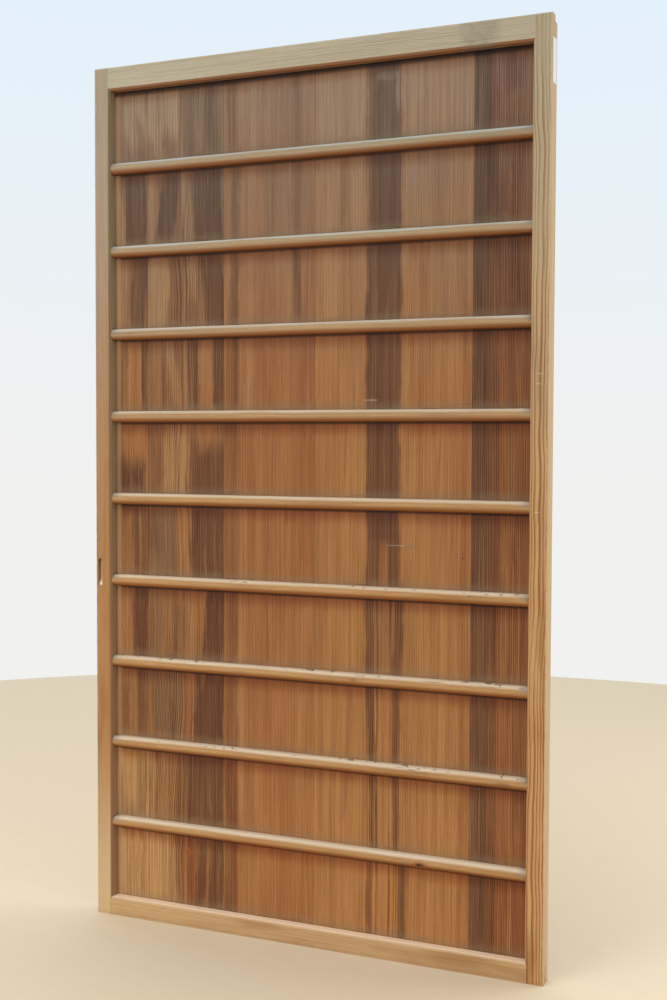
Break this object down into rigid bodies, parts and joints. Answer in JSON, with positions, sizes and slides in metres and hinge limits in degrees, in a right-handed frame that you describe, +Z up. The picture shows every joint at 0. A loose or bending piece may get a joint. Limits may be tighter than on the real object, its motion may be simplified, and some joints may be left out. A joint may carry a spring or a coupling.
{
  "type": "battened board sliding door",
  "caption": "Japanese sliding door leaf: upright cedar boards in a bevelled frame, crossed by half-round battens, with a carved finger pull and a head tongue for a grooved lintel.",
  "frame": {"origin": "middle of the leaf's foot, halfway through its thickness", "axes": "+Z up, +X to the right seen from the battened face, +Y through the leaf away from the battened face"},
  "size_m": [0.9603, 0.034, 1.757],
  "materials": {
    "frame_wood": "planed, aged, unvarnished softwood, greyer towards the head",
    "board_wood": "aged cedar boards, dark heartwood bands, dry satin",
    "batten_wood": "planed half-round cedar, dusty on top",
    "wedge_wood": "split softwood, end grain outside",
    "nail_iron": "dull blackened iron",
    "label_paper": "blank white paper label"
  },
  "bodies": {
    "root": {"left_stile": "frame_wood", "right_stile": "frame_wood", "top_rail": "frame_wood", "bottom_rail": "frame_wood", "board_1": "board_wood", "board_2": "board_wood", "board_3": "board_wood", "board_4": "board_wood", "board_5": "board_wood", "batten_1": "batten_wood", "batten_2": "batten_wood", "batten_3": "batten_wood", "batten_4": "batten_wood", "batten_5": "batten_wood", "batten_6": "batten_wood", "batten_7": "batten_wood", "batten_8": "batten_wood", "batten_9": "batten_wood", "tenon_wedges": "wedge_wood", "batten_nails": "nail_iron", "face_nail": "nail_iron", "paper_label": "label_paper"}
  },
  "joints": []
}
